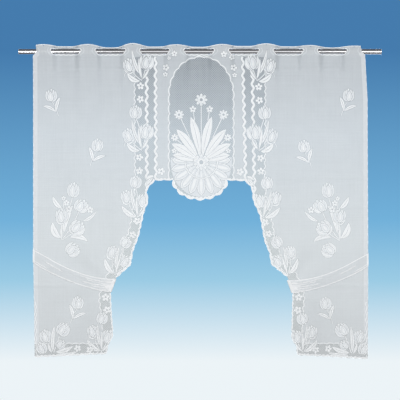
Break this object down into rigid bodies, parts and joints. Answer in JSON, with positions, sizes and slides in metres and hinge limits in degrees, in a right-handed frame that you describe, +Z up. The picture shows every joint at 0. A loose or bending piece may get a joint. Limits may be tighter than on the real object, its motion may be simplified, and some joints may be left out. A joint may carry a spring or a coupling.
{
  "type": "cafe curtain with rod",
  "caption": "Sheer white lace cafe curtain threaded on a plain metal rod, arched in the middle, with scalloped edges and side legs drawn back by voile ties.",
  "frame": {"origin": "middle of the rod's axis", "axes": "+X along the rod to the right as seen from the room, +Y away from the room towards the window, +Z up"},
  "size_m": [1.162, 0.0224, 1.0154],
  "materials": {
    "rod_metal": "satin silver",
    "lace": "sheer white voile ground with woven net and dense lace motifs",
    "tie_voile": "sheer white voile in lengthwise pleats"
  },
  "bodies": {
    "root": {"rod": "rod_metal", "curtain_panel": "lace", "tie_left": "tie_voile", "tie_right": "tie_voile"}
  },
  "joints": []
}
